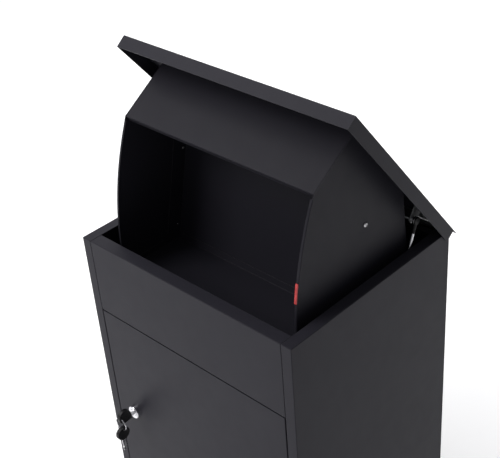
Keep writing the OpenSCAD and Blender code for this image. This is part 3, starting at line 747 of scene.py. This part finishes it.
def build_lock():
    """The lock's head with its dished face, and its threaded barrel."""
    axis = Vector(JOINTS["lock_turn"]["pos_m"])
    low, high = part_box("lock_barrel")
    head_r = (high.x - low.x) / 2
    plug_low, plug_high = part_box("lock_plug")
    plug_r = (plug_high.z - plug_low.z) / 2
    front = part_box("door_panel")[0].y
    head_t = front - axis.y
    place = upright(axis, (0, -1, 0))
    rim = head_r - 1.5 * MM
    bore = plug_r + RUNNING
    # Rounding of the head's edge
    soft = 1.6 * MM
    bm = bmesh.new()
    head = [(bore, -head_t), (head_r, -head_t)]
    head += arc((head_r - soft, -soft), soft, 0, 90, 8)
    head += [
        (rim - 0.8 * MM, -0.05 * MM), (rim - 1.6 * MM, -0.75 * MM), (bore + 0.9 * MM, -0.95 * MM),
        (bore + 0.4 * MM, -0.25 * MM), (bore, -0.25 * MM),
    ]
    lathe(bm, head, place, 72, closed=True)
    add_piece("lock_head", bm, "door", "chrome_plate", ["lock_barrel"], angle=40)
    build_thread(axis, front, bore, high.y - front)


def build_thread(axis, front, bore, depth):
    """The lock's barrel behind the door's face: a threaded tube with two flats."""
    pitch = 1.0 * MM
    root = BARREL_R - 0.55 * MM
    bm = bmesh.new()
    thread = [(bore, 0)]
    turns = int(depth / pitch)
    for i in range(turns):
        thread += [
            (BARREL_R, i * pitch + 0.15 * pitch), (BARREL_R, i * pitch + 0.3 * pitch),
            (root, i * pitch + 0.65 * pitch), (root, i * pitch + 0.8 * pitch),
        ]
    thread += [(BARREL_R - 0.6 * MM, depth), (bore, depth)]
    lathe(bm, thread, Matrix(), 64, closed=True)
    for vertex in bm.verts:
        if vertex.co.xy.length > bore + 1 * MM:
            vertex.co.x = max(-BARREL_FLAT, min(BARREL_FLAT, vertex.co.x))
    place = upright((axis.x, front, axis.z), (0, 1, 0))
    bmesh.ops.transform(bm, matrix=place, verts=bm.verts)
    add_piece("lock_thread", bm, "door", "chrome_plate")


def build_plug():
    """The turning plug, its cam's bolt and the barrel's nut."""
    for name, node, bevel, segments in (
        ("lock_core", "lock_plug", 0.25, 2),
        ("cam_bolt", "cam_screw", 0.4, 3),
        ("barrel_nut", "lock_nut", 0.4, 2),
    ):
        add_piece(name, cad_mesh(node), body_of(node), slot_of(node), [node], bevel * MM, segments)


def build_bows():
    """Key bows with a sunk disc on both sides."""
    low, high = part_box("spare_key_bow")
    radius = (high.y - low.y) / 2
    # Depth of the discs
    sunk = 0.45 * MM
    for node in ("key_bow", "spare_key_bow"):
        low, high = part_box(node)
        centre = Vector(((low.x + high.x) / 2, low.y + radius, high.z - radius))
        bm = cad_mesh(node)
        for side in (-1, 1):
            cutter = bmesh.new()
            face = Vector((centre.x + side * ((high.x - low.x) / 2 - sunk), centre.y, centre.z))
            disc = [(0, 0), (0.70 * radius, 0), (0.76 * radius, 2 * sunk), (0, 2 * sunk)]
            lathe(cutter, disc, upright(face, (side, 0, 0)), 64)
            bm = carved(bm, cutter)
        add_piece("part_" + node, bm, body_of(node), slot_of(node), [node], 0.4 * MM, 3, 30)


def build_blades():
    """Key blades with a milled groove along both sides."""
    # The groove's depth and width, and its distance from the blade's root
    depth = 0.35 * MM
    width = 1.1 * MM
    root = 5 * MM
    for node, way in (("key_blade", Vector((0, 1, 0))), ("spare_key_blade", Vector((0, 0, -1)))):
        low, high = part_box(node)
        centre = (low + high) / 2
        length = abs((high - low).dot(way))
        half = (high.x - low.x) / 2
        up = Vector((1, 0, 0)).cross(way)
        turned = Matrix(((1, way.x, up.x), (0, way.y, up.y), (0, way.z, up.z)))
        place = Matrix.Translation(centre) @ turned.to_4x4()
        bm = cad_mesh(node)
        for side, rise in ((-1, -0.9 * MM), (1, 0.6 * MM)):
            cutter = bmesh.new()
            box_mesh(
                cutter,
                (side * half - depth, -length / 2 + root, rise - width / 2),
                (side * half + depth, length, rise + width / 2),
                place,
            )
            bm = carved(bm, cutter)
        add_piece("part_" + node, bm, body_of(node), slot_of(node), [node], 0.1 * MM, 2, 30)


def build_ring():
    """A split ring: two turns of wire, one beside the other."""
    low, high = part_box("key_ring")
    centre = (low + high) / 2
    wire = (high.y - low.y) / 4
    ring_r = (high.x - low.x) / 2 - wire
    steps = 144
    sides = 12
    place = upright(centre, (0, 1, 0))
    bm = bmesh.new()
    rings = []
    for i in range(steps + 1):
        turn = 4 * math.pi * i / steps + 0.8
        # The two turns lie side by side and cross over in a short stretch
        cross = min(1, max(0, (i / steps - 0.46) / 0.08))
        height = wire * (2 * cross - 1)
        ring = []
        for j in range(sides):
            tilt = 2 * math.pi * j / sides
            radius = ring_r + wire * math.cos(tilt)
            rise = height + wire * math.sin(tilt)
            point = Vector((radius * math.cos(turn), radius * math.sin(turn), rise))
            ring.append(bm.verts.new(place @ point))
        rings.append(ring)
    for one, other in zip(rings, rings[1:]):
        for j in range(sides):
            k = (j + 1) % sides
            bm.faces.new((one[j], one[k], other[k], other[j]))
    bm.faces.new(rings[0][::-1])
    bm.faces.new(rings[-1])
    add_piece("split_ring", bm, "key_ring", "chrome_plate", ["key_ring"])


def build_tube(side):
    """A gas strut's tube with a crimped groove, a rolled mouth and a gland round the rod."""
    node = "strut_tube_" + side
    foot = Vector(JOINTS["strut_swing_" + side]["pos_m"])
    foot.x = middle(node).x
    way = Vector(JOINTS["strut_slide_" + side]["axis"])
    start, stop = reach(node, foot, way)
    low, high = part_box(node)
    outer = (high.x - low.x) / 2
    bore = ROD_R + RUNNING
    inner = outer - TUBE_WALL
    # Middle of the crimped groove, and its depth
    crimp = stop - 9 * MM
    dent = 0.45 * MM
    bm = bmesh.new()
    profile = [(0, start)]
    profile += arc((outer - 1 * MM, start + 1 * MM), 1 * MM, -90, 0)
    profile += [
        (outer, crimp - 0.9 * MM), (outer - dent, crimp - 0.3 * MM),
        (outer - dent, crimp + 0.3 * MM), (outer, crimp + 0.9 * MM),
    ]
    profile += arc((outer - 1.2 * MM, stop - 1.2 * MM), 1.2 * MM, 0, 90)
    profile += [
        (bore + 0.9 * MM, stop), (bore + 0.7 * MM, stop - 0.5 * MM), (bore, stop - 0.5 * MM),
        (bore, stop - GLAND), (inner, stop - GLAND), (inner, start + TUBE_END), (0, start + TUBE_END),
    ]
    lathe(bm, profile, upright(foot, way), 40)
    add_piece("part_" + node, bm, body_of(node), slot_of(node), [node])


def build_socket(side):
    """The rod's end fitting: a ribbed neck and a ball socket with a spring clip round it."""
    node = "strut_upper_end_" + side
    foot = Vector(JOINTS["strut_swing_" + side]["pos_m"])
    way = Vector(JOINTS["strut_slide_" + side]["axis"])
    low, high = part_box(node)
    foot.x = (low.x + high.x) / 2
    half = (high.x - low.x) / 2
    start, stop = reach(node, foot, way)
    end = stop - EYE_R
    eye = upright(foot + way * end, (1, 0, 0))
    neck = half - 0.3 * MM
    waist = neck - 0.7 * MM
    bm = bmesh.new()
    lathe(bm, [
        (0, start), (neck - 0.6 * MM, start), (neck - 0.2 * MM, start + 0.5 * MM),
        (neck - 0.2 * MM, start + 4 * MM), (waist, start + 4.6 * MM), (waist, start + 6 * MM),
        (neck, start + 6.8 * MM), (neck, end), (0, end),
    ], upright(foot, way), 32)
    # The socket's rim is rounded by this much, and the clip lies in a groove round its middle
    soft = 1.2 * MM
    groove = EYE_R - 0.5 * MM
    socket = [(0, -half), (EYE_R - 1.6 * MM, -half)]
    socket += arc((EYE_R - soft, -half + soft), soft, -90, 0)
    socket += [(EYE_R, -0.55 * MM), (groove, -0.45 * MM), (groove, 0.45 * MM), (EYE_R, 0.55 * MM)]
    socket += arc((EYE_R - soft, half - soft), soft, 0, 90)
    socket += [(0, half)]
    lathe(bm, socket, eye, 48)
    add_piece("part_" + node, bm, body_of(node), slot_of(node), [node])
    clip = bmesh.new()
    lathe(clip, arc((EYE_R - 0.25 * MM, 0), 0.38 * MM, 0, 315, 7), eye, 56, closed=True)
    add_piece("clip_" + side, clip, body_of(node), "bright_steel")


def build_struts():
    """Both gas struts."""
    for side in ("left", "right"):
        build_tube(side)
        build_socket(side)
        for node in ("strut_rod_" + side, "strut_lower_end_" + side):
            add_piece("part_" + node, cad_mesh(node), body_of(node), slot_of(node), [node], 0.5 * MM, 3)


def build_rivets():
    """Flat rivet heads along both leaves of the lid hinge."""
    pin = middle("hinge_pin")
    count = 8
    # Distance of the rivets from the leaf's free edge
    inset = 9 * MM
    for node in ("hinge_body_leaf", "hinge_lid_leaf"):
        low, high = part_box(node)
        if node == "hinge_body_leaf":
            out = Vector((0, 1, 0))
            down = Vector((0, 0, -1))
            face = Vector((0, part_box("rear_panel")[1].y + LEAF_T, pin.z))
        else:
            turn = Matrix.Rotation(-LID_OPEN, 3, "X")
            out = turn @ Vector((0, 0, -1))
            down = turn @ Vector((0, -1, 0))
            base = max((v.co - pin).dot(-out) for v in NODES[node].data.vertices)
            face = Vector((0, pin.y, pin.z)) - out * (base - LEAF_T)
        depth = max((v.co - pin).dot(down) for v in NODES[node].data.vertices)
        bm = bmesh.new()
        for i in range(count):
            x = low.x + (high.x - low.x) * (i + 0.5) / count
            spot = face + down * (depth - inset)
            lathe(bm, [
                (0, -0.6 * MM), (2 * MM, -0.6 * MM), (2 * MM, 0), (3.2 * MM, 0.02 * MM),
                (3.0 * MM, 0.35 * MM), (2.2 * MM, 0.62 * MM), (0, 0.7 * MM),
            ], upright((x, spot.y, spot.z), out), 28)
        add_piece("rivets_" + node, bm, body_of(node), "bright_steel")


def build_door_pins():
    """The door's two pivots and its washer."""
    for node in ("door_upper_pivot", "door_lower_pivot", "door_washer"):
        add_piece("part_" + node, cad_mesh(node), body_of(node), slot_of(node), [node], 0.3 * MM, 2)


set_stage()
build_sheets()
build_edge_strip()
build_screws("hood_screws", *HOOD_SCREW)
build_screws("strut_bracket_screws", *BRACKET_SCREW)
build_hinge()
build_lock()
build_plug()
build_bows()
build_blades()
build_ring()
build_rivets()
build_struts()
build_door_pins()
